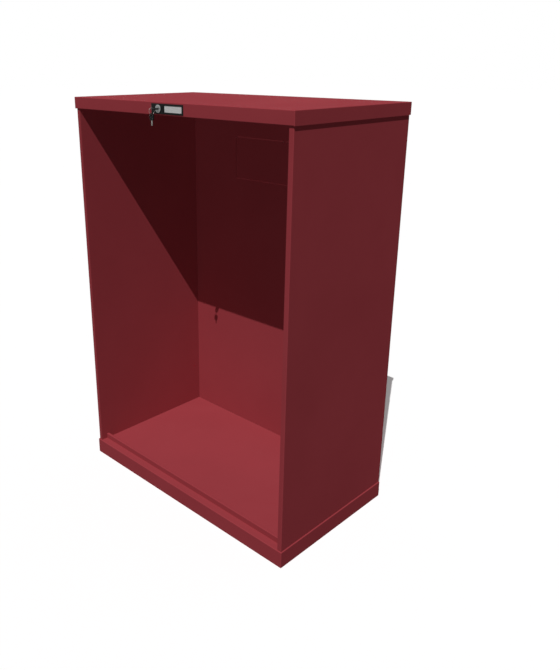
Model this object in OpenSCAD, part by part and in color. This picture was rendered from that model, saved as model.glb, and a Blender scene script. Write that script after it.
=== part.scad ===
// Book drop box: a free-standing sheet-steel cabinet on a plinth base, with an open front,
// a capped top that carries a keyed lock and a label, and a drop slot with a push flap at the rear.
// The frame stands on the floor at z = 0, faces -Y, and has y = 0 halfway along its overall depth.

/* [Cabinet] */
// Height from the floor to the top of the cap
total_h = 1140; // [900:5:1400]
// Width over the two side panels
body_w = 796; // [600:1:1000]
// Depth of the side panels, from their front edge to the rear plane
body_d = 446; // [360:1:700]
// Thickness of a side panel, from its skin to its liner
side_t = 13; // [13:0.5:25]
// Depth of the back panel's pan
back_t = 8; // [8:0.5:20]

/* [Base and cap] */
// Height of the base, which is also the height of the compartment's floor
base_h = 47; // [35:1:120]
// How far the base stands out in front of the body and at its sides
base_step = 3; // [1:0.5:10]
// Height of the base pan's upturned edge
base_pan_h = 22; // [10:1:25]
// Height of the cap's lip
cap_h = 31.5; // [29:0.5:60]
// How far the cap overhangs the body in front and at its sides
cap_step = 4; // [1:0.5:12]
// Width of the fold that runs back from the lower edge of the cap's front lip
cap_return = 12; // [6:0.5:14]
// Clear space behind the cap's front lip, which the lock's cam swings in
lock_room = 32; // [30:1:60]
// Height of the ceiling panel's upturned edge
ceiling_edge = 20; // [8:1:24]

/* [Sheet metal] */
// Sheet of the base
base_sheet = 1.5; // [1:0.1:2]
// Sheet of the cap
cap_sheet = 1.5; // [1:0.1:2]
// Sheet of the side skins, the back panel, the ceiling, the flap and the channels
skin_sheet = 1.2; // [0.8:0.1:1.5]
// Sheet of the side liners
liner_sheet = 1; // [0.7:0.1:1.5]
// Width of the stiffening channels in the base and the cap
channel_w = 60; // [30:1:100]
// Width of the stiffening channels in the side panels
side_channel_w = 40; // [20:1:80]
// Distance of each side channel from the middle of the side panel's depth
side_channel_y = 85; // [50:1:130]
// Distance of the outer base channels from the cabinet's middle
base_channel_x = 240; // [150:1:250]
// Distance of the cap channels from the cabinet's middle
cap_channel_x = 200; // [110:1:230]

/* [Stop rail] */
// Distance from the front of the base to the front of the rail
rail_back = 23; // [10:0.5:60]
// Height of the rail above the compartment's floor
rail_h = 16.5; // [8:0.5:40]
// Thickness of the rail
rail_t = 8; // [5:0.5:20]

/* [Drop slot and flap] */
// Clear width of the slot
slot_w = 380; // [200:1:460]
// Clear height of the slot
slot_h = 110; // [60:1:160]
// Distance from the underside of the cap down to the middle of the slot
slot_drop = 160; // [130:1:300]
// How far the flap laps over the edge of the slot
flap_lap = 6; // [4:0.5:12]
// Gap between the flap and the panel around it
flap_gap = 1.5; // [1:0.1:3]
// Depth of the flap's folded edges
flap_d = 4; // [3:0.1:4.2]
// Radius of the rolled knuckle along the top of the flap
knuckle_r = 3; // [2.8:0.1:3]
// Radius of the flap's hinge pin
pin_r = 1.25; // [1:0.05:1.3]
// Running clearance between the pin and the bores around it
pin_play = 0.05; // [0.02:0.01:0.1]
// Width of the slot frame's rim around the flap
frame_rim = 16; // [12:0.5:30]
// Thickness of the slot frame
frame_d = 6.3; // [6.3:0.1:6.5]
// Thickness of the frame's lip behind the flap
lip_d = 1.2; // [0.8:0.1:1.2]
// Half the width of the lug that holds the pin at its middle
lug_half = 5; // [3:0.5:10]
// Distance from the end of the slot to the middle of each rubber pad
pad_in = 38; // [20:1:60]
// Width of a rubber pad
pad_w = 20; // [10:1:30]

/* [Lock and label] */
// Distance of the lock to the left of the cabinet's middle
lock_left = 32; // [20:0.5:50]
// How far the lock's axis lies below the middle of the cap's lip
lock_low = 0.25; // [0:0.05:1]
// Width of the bezel
bezel_w = 118.5; // [118:0.5:138]
// How far to the right of the cabinet's middle the bezel is centred
bezel_right = 0.4; // [0.2:0.1:4]
// Height of the bezel
bezel_h = 24.5; // [22:0.5:26]
// How far the bezel stands out from the lip
bezel_d = 1.3; // [1.2:0.1:3]
// Width of the label window
window_w = 63; // [40:0.5:63]
// Height of the label window
window_h = 15.5; // [10:0.5:17]
// How far to the right of the cabinet's middle the label window is centred
window_right = 22.8; // [19:0.1:23]
// How far the bezel laps over the edge of the window
window_lap = 1.6; // [1:0.1:1.8]
// Thickness of the clear label window
window_t = 0.5; // [0.4:0.1:0.7]
// Thickness of the label card
card_t = 0.3; // [0.2:0.1:0.5]
// Radius of the lock barrel's front flange
barrel_flange_r = 9.5; // [9:0.1:10.5]
// Radius of the lock barrel
barrel_r = 8; // [7.5:0.1:8.5]
// Length of the lock barrel behind the face of the lip
barrel_l = 22; // [16:0.5:22]
// Radius of the turning plug
plug_r = 6; // [5:0.1:6.2]
// Running clearance around the plug
plug_play = 0.05; // [0.02:0.01:0.1]
// Length of the cam from the lock's axis to its tip
cam_l = 25; // [18:0.5:28]
// Width of the cam
cam_w = 14; // [11:0.5:16]
// Thickness of the cam
cam_t = 2; // [1.5:0.1:3]
// Side of the square tail that drives the cam
tail_s = 7; // [6:0.1:8]

/* [Keys] */
// Length of a key's moulded grip
grip_l = 17; // [14:0.5:24]
// Width of a key's moulded grip
grip_w = 14.5; // [12:0.5:20]
// Thickness of a key's moulded grip
grip_t = 3.6; // [3:0.1:4]
// Radius of a grip's corners
grip_corner = 5; // [3:0.5:5.5]
// Radius of the hole in a grip
grip_hole_r = 2.5; // [2.4:0.1:2.8]
// Distance from the end of a grip to its hole
grip_hole_end = 4.4; // [4:0.1:6]
// Length of a key's blade beyond its grip
blade_l = 12.5; // [10:0.5:13]
// Width of a key's blade
blade_w = 4.2; // [4:0.1:6.5]
// Thickness of a key's blade
blade_t = 1.4; // [1.2:0.1:2.2]
// Mean radius of the key ring
ring_r = 8; // [7.9:0.05:8.1]
// Radius of the key ring's wire
wire_r = 0.6; // [0.3:0.05:0.65]

/* [Fasteners] */
// Radius of the base bolts
bolt_r = 2.5; // [2:0.5:2.5]
// Radius of the bracket screws
screw_r = 2; // [1.5:0.5:2.5]
// Radius of the rivets
rivet_r = 1.5; // [1.2:0.1:1.5]
// Radius of the rivets' heads
rivet_head_r = 2.4; // [2:0.1:2.4]
// Length of a leg of the corner brackets
bracket_leg = 25; // [20:1:40]
// Length of the corner brackets
bracket_l = 40; // [30:1:80]
// Thickness of the corner brackets
bracket_t = 2; // [1.5:0.1:3]
// Distance from the front of the body to the middle of the front brackets
bracket_in = 245; // [210:1:300]
// Distance from a bracket's corner to its screws
bracket_hole = 15; // [12:0.5:16]
// Distance from the front and the rear of the body to the outer base bolts
bolt_in = 54; // [30:1:100]
// Distance from the base and the cap to the end rivets of the back panel's sides
rivet_in = 85; // [40:1:150]
// Distance from the compartment's sides to the end rivets of the back panel's top and bottom
rivet_side = 115; // [60:1:180]
// Radial clearance of the fasteners in their holes
hole_play = 0.1; // [0.05:0.05:0.3]

/* [Hidden] */

red = "#98393F";
black = "#161717";
steel = "#B9BCBD";
$fn = 48;
over = 1;      // how far a cut runs past the face that it opens
rest_gap = 0.3; // gap between two pieces that only touch when they are used

// Planes of the cabinet
rear_y = (body_d + cap_step) / 2;
front_y = rear_y - body_d;
mid_y = (front_y + rear_y) / 2;
cap_front_y = front_y - cap_step;
base_front_y = front_y - base_step;
base_w = body_w + 2 * base_step;
cap_w = body_w + 2 * cap_step;
cap_z = total_h - cap_h;
inner_x = body_w / 2 - side_t;
back_y = rear_y - back_t;
cavity_x = body_w / 2 - (side_t - liner_sheet + skin_sheet) / 2;
ceiling_front_y = cap_front_y + cap_sheet + lock_room;

// Fastener places
bolt_ys = [front_y + bolt_in, mid_y, rear_y - bolt_in];
bolt_head_h = 3.5;
bolt_head_r = 4.6;
nut_h = 4;
bracket_ys = [front_y + bracket_in, back_y - bracket_l];
bracket_screw_ys = [for (y = bracket_ys, i = [-1, 1]) y + i * bracket_l / 4];
screw_head_r = 4;
screw_head_h = 2;
screw_l = 8;
rivet_y = back_y + skin_sheet + rivet_head_r + 0.1;
rivet_head_h = 1;
rivet_tail = 1.5;
frame_head_h = 0.5;
rivet_zs = [for (i = [0:4]) base_h + rivet_in + i * (cap_z - base_h - 2 * rivet_in) / 4];
rivet_xs = [for (i = [-1:1]) i * (inner_x - rivet_side)];

// Ends of the side channels, clear of the base bolts and the bracket screws
side_channel_low = 20;
side_channel_top = 40;

// Drop slot and flap
slot_z = cap_z - slot_drop;
hinge_rise = 2;
flap_x = slot_w / 2 + flap_lap;
flap_bottom_z = slot_z - slot_h / 2 - flap_lap;
hinge_z = slot_z + slot_h / 2 + flap_lap + hinge_rise;
hinge_y = back_y + knuckle_r;
cut_x = flap_x + flap_gap;
cut_bottom_z = flap_bottom_z - flap_gap;
cut_top_z = hinge_z + knuckle_r + flap_gap;
frame_y = back_y + skin_sheet;
frame_rear_y = frame_y + frame_d;
lip_y = frame_rear_y - lip_d;
flap_rear_y = back_y + flap_d;
pin_hold = 8;
pin_end = 0.5;
lug_play = 1;
pad_rise = 0.5;
frame_rivets = concat(
  [for (i = [-1.5:1:1.5], z = [cut_bottom_z - frame_rim / 2, cut_top_z + frame_rim / 2]) [i * cut_x / 2, z]],
  [for (s = [-1, 1]) [s * (cut_x + frame_rim / 2), slot_z]]
);

// Lock, label and keys
lock_x = -lock_left;
lock_z = cap_z + cap_h / 2 - lock_low;
barrel_proud = 1.7;
lock_face_y = cap_front_y - bezel_d - barrel_proud;
lock_y = cap_front_y + barrel_l;
plug_rim = 1.2;
plug_head_r = plug_r + plug_rim;
plug_head_t = 1.4;
key_gap = 0.6;
key_y = lock_face_y - key_gap;
key_room = 0.5;
hang = 1.5;
ring_out = 1.3;
ring_drop = 3;
ring_y = key_y - grip_l - ring_out;
ring_z = lock_z - grip_t / 2 - ring_drop;
ring_low_z = ring_z - ring_r;
keyway_play = 0.1;
keyway_w = blade_t + 2 * keyway_play;
keyway_h = blade_w + 4 * keyway_play;
nut_r = 11.5;
nut_t = 3.5;
tang_l = 7;
bezel_corner = 1.2;
peg_r = 1.5;
peg_in = 2;
peg_xs = [for (i = [-1, 1]) bezel_right + i * (bezel_w / 2 - peg_in)];
peg_root = 0.5;
peg_tip = 2;
head_room = 0.2;
cam_corner = 2;
cam_screw_r = 2;
cam_screw_l = 3.5;
screw_room = 0.5;
cam_screw_head_r = 4.8;
cam_screw_head_h = 2;
blade_tip_r = 1.5;
bit_start = 3;
bit_pitch = 2.2;
bit_r = 0.5;
bit_step = 0.25;

// A block between two opposite corners
module span(low, high) {
  translate(low) cube(high - low);
}

// A folded pan: a block with one open side, hollowed to the sheet's thickness
module pan(low, high, sheet, open) {
  difference() {
    span(low, high);
    span([for (i = [0:2]) low[i] + (open[i] < 0 ? -over : sheet)],
         [for (i = [0:2]) high[i] + (open[i] > 0 ? over : -sheet)]);
  }
}

// A channel of sheet that runs along Y, open below
module channel_y(low, high, sheet) {
  difference() {
    span(low, high);
    span(low + [sheet, -over, -over], high + [-sheet, over, -sheet]);
  }
}

// A round bar or bore from a point, along X, Y or Z
module along_x(at, r, l) {
  translate(at) rotate([0, 90, 0]) cylinder(r = r, h = l);
}
module along_y(at, r, l) {
  translate(at) rotate([-90, 0, 0]) cylinder(r = r, h = l);
}
module along_z(at, r, l) {
  translate(at) cylinder(r = r, h = l);
}

// Both sides of the cabinet
module both_sides() {
  children();
  mirror([1, 0, 0]) children();
}

// A flat rectangle with round corners, centred
module round_rect(w, h, r) {
  square([w - 2 * r, h], center = true);
  square([w, h - 2 * r], center = true);
  for (x = [-1, 1], y = [-1, 1]) translate([x * (w / 2 - r), y * (h / 2 - r)]) circle(r = r);
}

// Bores of the base bolts, through the deck, the side skin and its liner
module bolt_bores() {
  both_sides() for (y = bolt_ys)
    along_z([cavity_x, y, base_h - base_sheet - over], bolt_r + hole_play, base_sheet + skin_sheet + liner_sheet + 2 * over);
}

// Bores of the bracket screws, through the brackets, the liners and the ceiling
module bracket_bores() {
  r = screw_r + hole_play;
  both_sides() for (y = bracket_screw_ys) {
    along_x([inner_x - bracket_t - over, y, cap_z - bracket_hole], r, bracket_t + liner_sheet + 2 * over);
    along_z([inner_x - bracket_hole, y, cap_z - bracket_t - over], r, bracket_t + skin_sheet + 2 * over);
  }
}

// Bores of the rivets around the back panel
module back_bores() {
  r = rivet_r + hole_play;
  both_sides() for (z = rivet_zs)
    along_x([inner_x - skin_sheet - over, rivet_y, z], r, skin_sheet + liner_sheet + 2 * over);
  for (x = rivet_xs) {
    along_z([x, rivet_y, cap_z - skin_sheet - over], r, 2 * skin_sheet + 2 * over);
    along_z([x, rivet_y, base_h - base_sheet - over], r, base_sheet + skin_sheet + 2 * over);
  }
}

// Bores of the rivets that hold the slot frame
module frame_bores() {
  for (p = frame_rivets) along_y([p[0], back_y - over, p[1]], rivet_r + hole_play, back_t + 2 * over);
}

// Deck and skirts of the base, folded from one sheet
module base_tray() {
  color(red) difference() {
    pan([-base_w / 2, base_front_y, 0], [base_w / 2, rear_y, base_h], base_sheet, [0, 0, -1]);
    bolt_bores();
    back_bores();
  }
}

// Bottom of the base, which stands on the floor
module base_pan() {
  color(red) pan([-base_w / 2 + base_sheet, base_front_y + base_sheet, 0],
                 [base_w / 2 - base_sheet, rear_y - base_sheet, base_pan_h], base_sheet, [0, 0, 1]);
}

// Three channels that carry the deck on the base pan
module base_channels() {
  color(steel) for (i = [-1:1])
    channel_y([i * base_channel_x - channel_w / 2, base_front_y + 2 * base_sheet, base_sheet],
              [i * base_channel_x + channel_w / 2, rear_y - 2 * base_sheet - back_t, base_h - base_sheet], skin_sheet);
}

// Low rail across the floor of the opening
module stop_rail() {
  y = base_front_y + rail_back;
  color(red) pan([-inner_x, y, base_h], [inner_x, y + rail_t, base_h + rail_h], skin_sheet, [0, 0, -1]);
}

// Outer skin of the right side, open towards the compartment
module side_skin() {
  color(red) difference() {
    pan([inner_x, front_y, base_h], [body_w / 2, rear_y, cap_z], skin_sheet, [-1, 0, 0]);
    bolt_bores();
  }
}

// Liner of the right side, which closes its skin
module side_liner() {
  color(red) difference() {
    pan([inner_x, front_y + skin_sheet, base_h + skin_sheet],
        [body_w / 2 - skin_sheet, rear_y - skin_sheet, cap_z - skin_sheet], liner_sheet, [1, 0, 0]);
    bolt_bores();
    bracket_bores();
    back_bores();
  }
}

// Upright channels between each skin and its liner
module side_channels() {
  low = [inner_x + liner_sheet, -side_channel_w / 2, base_h + side_channel_low];
  high = [body_w / 2 - skin_sheet, side_channel_w / 2, cap_z - side_channel_top];
  color(steel) both_sides() for (i = [-1, 1]) translate([0, mid_y + i * side_channel_y, 0])
    difference() {
      span(low, high);
      span(low + [-over, skin_sheet, -over], high + [-skin_sheet, -skin_sheet, over]);
    }
}

// Back panel, with the cut-out that the flap hangs in
module back_panel() {
  color(red) difference() {
    pan([-inner_x, back_y, base_h], [inner_x, rear_y, cap_z], skin_sheet, [0, 1, 0]);
    span([-cut_x, back_y - over, cut_bottom_z], [cut_x, frame_y + over, cut_top_z]);
    back_bores();
    frame_bores();
  }
}

// Frame around the slot: its lip stops the flap, and its cheeks and lug hold the hinge pin
module slot_frame() {
  color(red) difference() {
    union() {
      difference() {
        span([-cut_x - frame_rim, frame_y, cut_bottom_z - frame_rim],
             [cut_x + frame_rim, frame_rear_y, cut_top_z + frame_rim]);
        span([-cut_x, frame_y - over, cut_bottom_z], [cut_x, lip_y, cut_top_z]);
        span([-slot_w / 2, frame_y - over, slot_z - slot_h / 2],
             [slot_w / 2, frame_rear_y + over, slot_z + slot_h / 2]);
      }
      span([-lug_half, frame_y, hinge_z - knuckle_r], [lug_half, lip_y, cut_top_z]);
    }
    along_x([-cut_x - pin_hold, hinge_y, hinge_z], pin_r + pin_play, 2 * (cut_x + pin_hold));
    frame_bores();
  }
}

// Rivets of the slot frame, flush inside the cabinet
module slot_frame_rivets() {
  color(red) for (p = frame_rivets) {
    along_y([p[0], back_y, p[1]], rivet_r, frame_rear_y - back_y);
    along_y([p[0], frame_rear_y, p[1]], rivet_head_r, frame_head_h);
  }
}

// Hinge pin of the flap
module flap_pin() {
  color(steel) along_x([-cut_x - pin_hold + pin_end, hinge_y, hinge_z], pin_r, 2 * (cut_x + pin_hold - pin_end));
}

// Two rubber pads that the flap closes on
module flap_buffers() {
  color(black) for (i = [-1, 1]) translate([i * (slot_w / 2 - pad_in), 0, 0])
    span([-pad_w / 2, flap_rear_y + rest_gap, flap_bottom_z - pad_rise],
         [pad_w / 2, lip_y, flap_bottom_z + flap_lap - 2 * pad_rise]);
}

// Push flap: a folded plate that rolls round the pin along its top
module drop_flap() {
  notch = lug_half + lug_play;
  color(red) difference() {
    union() {
      difference() {
        pan([-flap_x, back_y, flap_bottom_z], [flap_x, flap_rear_y, hinge_z], skin_sheet, [0, 1, 0]);
        span([-flap_x - over, frame_y, hinge_z - 2 * knuckle_r], [flap_x + over, flap_rear_y + over, hinge_z + over]);
      }
      along_x([-flap_x, hinge_y, hinge_z], knuckle_r, 2 * flap_x);
    }
    along_x([-flap_x - over, hinge_y, hinge_z], pin_r + pin_play, 2 * (flap_x + over));
    span([-notch, back_y - over, hinge_z - knuckle_r - over], [notch, rear_y, hinge_z + knuckle_r + over]);
  }
}

// Ceiling of the compartment, set back behind the lock
module ceiling_panel() {
  color(red) difference() {
    pan([-cap_w / 2 + cap_sheet, ceiling_front_y, cap_z],
        [cap_w / 2 - cap_sheet, rear_y - cap_sheet, cap_z + ceiling_edge], skin_sheet, [0, 0, 1]);
    bracket_bores();
    back_bores();
  }
}

// Cap: top and lips folded from one sheet, pierced for the lock and its bezel
module cap_top() {
  color(red) difference() {
    union() {
      pan([-cap_w / 2, cap_front_y, cap_z], [cap_w / 2, rear_y, total_h], cap_sheet, [0, 0, -1]);
      span([-cap_w / 2, cap_front_y, cap_z], [cap_w / 2, cap_front_y + cap_return, cap_z + cap_sheet]);
    }
    along_y([lock_x, cap_front_y - over, lock_z], barrel_r + hole_play, cap_sheet + 2 * over);
    for (x = peg_xs) along_y([x, cap_front_y - over, lock_z], peg_r + hole_play, cap_sheet + 2 * over);
  }
}

// Two channels that carry the top of the cap on the ceiling
module cap_channels() {
  color(steel) for (i = [-1, 1])
    channel_y([i * cap_channel_x - channel_w / 2, ceiling_front_y + skin_sheet, cap_z + skin_sheet],
              [i * cap_channel_x + channel_w / 2, rear_y - 2 * cap_sheet - back_t, total_h - cap_sheet], skin_sheet);
}

// Angle brackets in the four upper corners of the compartment
module cap_brackets() {
  color(red) difference() {
    both_sides() for (y = bracket_ys) {
      span([inner_x - bracket_t, y - bracket_l / 2, cap_z - bracket_leg], [inner_x, y + bracket_l / 2, cap_z]);
      span([inner_x - bracket_leg, y - bracket_l / 2, cap_z - bracket_t], [inner_x, y + bracket_l / 2, cap_z]);
    }
    bracket_bores();
  }
}

// Screws of the brackets, into the liners and up into the ceiling
module bracket_screws() {
  color(steel) both_sides() for (y = bracket_screw_ys) {
    translate([inner_x - bracket_t - screw_head_h, y, cap_z - bracket_hole]) rotate([0, 90, 0]) {
      cylinder(r = screw_head_r, h = screw_head_h);
      cylinder(r = screw_r, h = screw_head_h + screw_l);
    }
    translate([inner_x - bracket_hole, y, cap_z - bracket_t - screw_head_h]) {
      cylinder(r = screw_head_r, h = screw_head_h);
      cylinder(r = screw_r, h = screw_head_h + screw_l);
    }
  }
}

// Bolts up through the deck into the side panels
module base_bolts() {
  z = base_h - base_sheet - bolt_head_h;
  color(steel) both_sides() for (y = bolt_ys) {
    along_z([cavity_x, y, z], bolt_r, bolt_head_h + base_sheet + skin_sheet + liner_sheet + nut_h);
    translate([cavity_x, y, z]) cylinder(r = bolt_head_r, h = bolt_head_h, $fn = 6);
  }
}

// Nuts of the base bolts, inside the side panels
module base_nuts() {
  color(steel) both_sides() for (y = bolt_ys)
    translate([cavity_x, y, base_h + skin_sheet + liner_sheet]) difference() {
      cylinder(r = bolt_head_r, h = nut_h, $fn = 6);
      translate([0, 0, -over]) cylinder(r = bolt_r + hole_play, h = nut_h + 2 * over);
    }
}

// One blind rivet, with its head's flat side at the origin and its shank along +Z
module rivet(grip) {
  translate([0, 0, -rivet_head_h]) cylinder(r = rivet_head_r, h = rivet_head_h);
  cylinder(r = rivet_r, h = grip + rivet_tail);
}

// Rivets that join the back panel to the sides, the ceiling and the deck
module back_rivets() {
  color(red) {
    both_sides() for (z = rivet_zs)
      translate([inner_x - skin_sheet, rivet_y, z]) rotate([0, 90, 0]) rivet(skin_sheet + liner_sheet);
    for (x = rivet_xs) {
      translate([x, rivet_y, cap_z - skin_sheet]) rivet(2 * skin_sheet);
      translate([x, rivet_y, base_h + skin_sheet]) mirror([0, 0, 1]) rivet(skin_sheet + base_sheet);
    }
  }
}

// Moulded bezel around the lock and the label
module lock_bezel() {
  pocket_y = cap_front_y - window_t - card_t;
  color(black) difference() {
    union() {
      translate([bezel_right, cap_front_y, lock_z]) rotate([90, 0, 0])
        linear_extrude(bezel_d) round_rect(bezel_w, bezel_h, bezel_corner);
      for (x = peg_xs) along_y([x, cap_front_y - peg_root, lock_z], peg_r, cap_sheet + peg_tip);
    }
    along_y([lock_x, cap_front_y - bezel_d - over, lock_z], barrel_flange_r + hole_play, bezel_d + 2 * over);
    translate([window_right, 0, lock_z]) {
      span([-window_w / 2, cap_front_y - bezel_d - over, -window_h / 2],
           [window_w / 2, cap_front_y + over, window_h / 2]);
      span([-window_w / 2 - window_lap, pocket_y, -window_h / 2 - window_lap],
           [window_w / 2 + window_lap, cap_front_y + over, window_h / 2 + window_lap]);
    }
  }
}

// A flat leaf in the bezel's pocket, between two depths from the lip's face
module label_leaf(d0, d1) {
  x = window_w / 2 + window_lap - hole_play;
  z = window_h / 2 + window_lap - hole_play;
  translate([window_right, cap_front_y, lock_z]) span([-x, -d1, -z], [x, -d0, z]);
}

// Clear window in front of the label
module label_window() {
  color("#D8DCDC", 0.4) label_leaf(card_t, card_t + window_t);
}

// Blank label card
module label_card() {
  color("#A3A3A3") label_leaf(0, card_t);
}

// Fixed barrel of the lock
module lock_barrel() {
  color(steel) difference() {
    union() {
      along_y([lock_x, lock_face_y, lock_z], barrel_flange_r, cap_front_y - lock_face_y);
      along_y([lock_x, cap_front_y, lock_z], barrel_r, barrel_l);
    }
    along_y([lock_x, lock_face_y - over, lock_z], plug_r + plug_play, lock_y - lock_face_y + 2 * over);
    along_y([lock_x, lock_face_y - over, lock_z], plug_head_r + plug_play, plug_head_t + over + head_room);
  }
}

// Nut that clamps the barrel behind the lip
module lock_nut() {
  color(steel) translate([lock_x, cap_front_y + cap_sheet, lock_z]) rotate([-90, 0, 0]) difference() {
    cylinder(r = nut_r, h = nut_t, $fn = 6);
    translate([0, 0, -over]) cylinder(r = barrel_r + hole_play, h = nut_t + 2 * over);
  }
}

// Turning plug with its keyway and its square tail
module lock_plug() {
  color(steel) difference() {
    union() {
      along_y([lock_x, lock_face_y, lock_z], plug_head_r, plug_head_t);
      along_y([lock_x, lock_face_y, lock_z], plug_r, lock_y + rest_gap - lock_face_y);
      translate([lock_x, lock_y, lock_z]) span([-tail_s / 2, 0, -tail_s / 2], [tail_s / 2, rest_gap + cam_t, tail_s / 2]);
    }
    translate([lock_x, lock_face_y, lock_z])
      span([-keyway_h / 2, -over, -keyway_w / 2], [keyway_h / 2, blade_l - key_gap + key_room, keyway_w / 2]);
    along_y([lock_x, lock_y - cam_screw_l - screw_room, lock_z], cam_screw_r, cam_screw_l + 2 * over + cam_t);
  }
}

// Cam on the plug's tail, which points to the right when the lock is open
module lock_cam() {
  color(steel) translate([lock_x, lock_y + rest_gap, lock_z]) rotate([-90, 0, 0]) linear_extrude(cam_t) difference() {
    union() {
      circle(d = cam_w);
      translate([0, -cam_w / 2]) square([cam_l - cam_corner, cam_w]);
      translate([cam_l - cam_corner, 0]) square([2 * cam_corner, cam_w - 2 * cam_corner], center = true);
      for (i = [-1, 1]) translate([cam_l - cam_corner, i * (cam_w / 2 - cam_corner)]) circle(r = cam_corner);
    }
    square(tail_s, center = true);
  }
}

// Screw that holds the cam on the tail
module cam_screw() {
  color(steel) {
    along_y([lock_x, lock_y - cam_screw_l, lock_z], cam_screw_r - hole_play, cam_screw_l + rest_gap + cam_t);
    along_y([lock_x, lock_y + rest_gap + cam_t, lock_z], cam_screw_head_r, cam_screw_head_h);
  }
}

// Outline of a key's blade and tang, pointing along +X from the edge of its grip
module blade_shape() {
  difference() {
    union() {
      translate([-tang_l, -blade_w / 2]) square([tang_l + blade_l - blade_tip_r, blade_w]);
      translate([blade_l - 2 * blade_tip_r, blade_tip_r - blade_w / 2]) square([2 * blade_tip_r, blade_w - 2 * blade_tip_r]);
      for (i = [-1, 1]) translate([blade_l - blade_tip_r, i * (blade_w / 2 - blade_tip_r)]) circle(r = blade_tip_r);
    }
    for (i = [0:3]) translate([bit_start + i * bit_pitch, blade_w / 2]) circle(r = bit_r + bit_step * ((i * 2) % 3));
  }
}

// A key's blade, pointing along +X with its edge at the origin, in the XY plane
module blade() {
  translate([0, 0, -blade_t / 2]) linear_extrude(blade_t) blade_shape();
}

// A key's moulded grip around its tang
module grip() {
  difference() {
    translate([-grip_l / 2, 0, -grip_t / 2]) linear_extrude(grip_t) round_rect(grip_l, grip_w, grip_corner);
    translate([-grip_l + grip_hole_end, 0, -grip_t]) cylinder(r = grip_hole_r, h = 2 * grip_t);
    span([-tang_l, -blade_w / 2, -blade_t / 2], [over, blade_w / 2, blade_t / 2]);
  }
}

// Places a key in the lock, flat, pointing to the rear
module in_lock() {
  translate([lock_x, key_y, lock_z]) rotate([0, 0, 90]) children();
}

// Hangs a key on the ring, facing the front, pointing down
module on_ring() {
  translate([lock_x, ring_y, ring_low_z - hang - grip_l + grip_hole_end]) rotate([90, 90, 0]) children();
}

// Key in the lock
module key_blade() {
  color(steel) in_lock() blade();
}

// Grip of the key in the lock
module key_grip() {
  color(black) in_lock() grip();
}

// Wire ring that joins both keys, on edge through the hole of the key in the lock
module key_ring() {
  color(steel) translate([lock_x, ring_y, ring_z]) rotate([0, 90, 0]) rotate_extrude()
    translate([ring_r, 0]) circle(r = wire_r, $fn = 24);
}

// Spare key on the ring
module spare_key_blade() {
  color(steel) on_ring() blade();
}

// Grip of the spare key
module spare_key_grip() {
  color(black) on_ring() grip();
}

base_tray();
base_pan();
base_channels();
stop_rail();
mirror([1, 0, 0]) side_skin();  // left_side_skin
mirror([1, 0, 0]) side_liner();  // left_side_liner
side_skin();  // right_side_skin
side_liner();  // right_side_liner
side_channels();
back_panel();
slot_frame();
slot_frame_rivets();
flap_pin();
flap_buffers();
drop_flap();
ceiling_panel();
cap_top();
cap_channels();
cap_brackets();
bracket_screws();
base_bolts();
base_nuts();
back_rivets();
lock_bezel();
label_window();
label_card();
lock_barrel();
lock_nut();
lock_plug();
lock_cam();
cam_screw();
key_blade();
key_grip();
key_ring();
spare_key_blade();
spare_key_grip();
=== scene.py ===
# Book drop box: a sheet-steel cabinet on a plinth base, open in front, with a capped top that
# carries a keyed lock and a label, and a drop slot with a push flap at the rear.
# It is built here from the floor upwards, in the order in which the real one is put together.
import math

import bmesh
import bpy
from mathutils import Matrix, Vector


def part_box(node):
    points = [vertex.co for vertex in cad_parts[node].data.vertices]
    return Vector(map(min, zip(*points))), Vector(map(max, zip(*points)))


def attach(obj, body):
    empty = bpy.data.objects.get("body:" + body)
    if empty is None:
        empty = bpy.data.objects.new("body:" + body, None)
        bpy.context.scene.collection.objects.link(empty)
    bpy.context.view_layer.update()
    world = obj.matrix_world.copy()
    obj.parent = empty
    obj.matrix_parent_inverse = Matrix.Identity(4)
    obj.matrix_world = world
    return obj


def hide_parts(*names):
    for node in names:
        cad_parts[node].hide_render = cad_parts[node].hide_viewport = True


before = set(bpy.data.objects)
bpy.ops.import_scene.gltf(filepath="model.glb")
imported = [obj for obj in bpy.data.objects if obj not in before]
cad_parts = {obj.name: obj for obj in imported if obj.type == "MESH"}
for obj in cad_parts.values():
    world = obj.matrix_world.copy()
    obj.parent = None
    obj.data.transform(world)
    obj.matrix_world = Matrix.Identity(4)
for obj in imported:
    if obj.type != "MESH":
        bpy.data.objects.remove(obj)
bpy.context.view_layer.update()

# ---------------------------------------------------------------------------------------------
# Base tray: the deck that the books land on and the skirts around it, folded from one sheet of
# 1.5 mm steel with welded corners, and powder coated red like the rest of the cabinet.
MM = 0.001


def only(piece=None):
    """Leaves edit mode, and selects this piece alone or nothing at all."""
    if bpy.context.mode != "OBJECT":
        bpy.ops.object.mode_set(mode="OBJECT")
    bpy.ops.object.select_all(action="DESELECT")
    if piece:
        piece.select_set(True)
        bpy.context.view_layer.objects.active = piece


def block(name, low, high):
    """A box between two opposite corners, as the blank that a piece is shaped from."""
    low, high = Vector(low), Vector(high)
    only()
    bpy.ops.mesh.primitive_cube_add(size=1, location=(low + high) / 2)
    piece = bpy.context.object
    piece.name = name
    piece.scale = high - low
    bpy.ops.object.transform_apply(location=True, rotation=True, scale=True)
    return piece


def pick(piece, kind, test):
    """Selects the faces, edges or points whose middle and self pass the test, in edit mode."""
    only(piece)
    bpy.ops.object.mode_set(mode="EDIT")
    bpy.ops.mesh.select_mode(type=kind)
    bpy.ops.mesh.select_all(action="DESELECT")
    shape = bmesh.from_edit_mesh(piece.data)
    for part in {"VERT": shape.verts, "EDGE": shape.edges, "FACE": shape.faces}[kind]:
        corners = [part] if kind == "VERT" else part.verts
        middle = sum((corner.co for corner in corners), Vector()) / len(corners)
        if test(middle, part):
            part.select_set(True)
    shape.select_flush_mode()
    bmesh.update_edit_mesh(piece.data)


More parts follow.
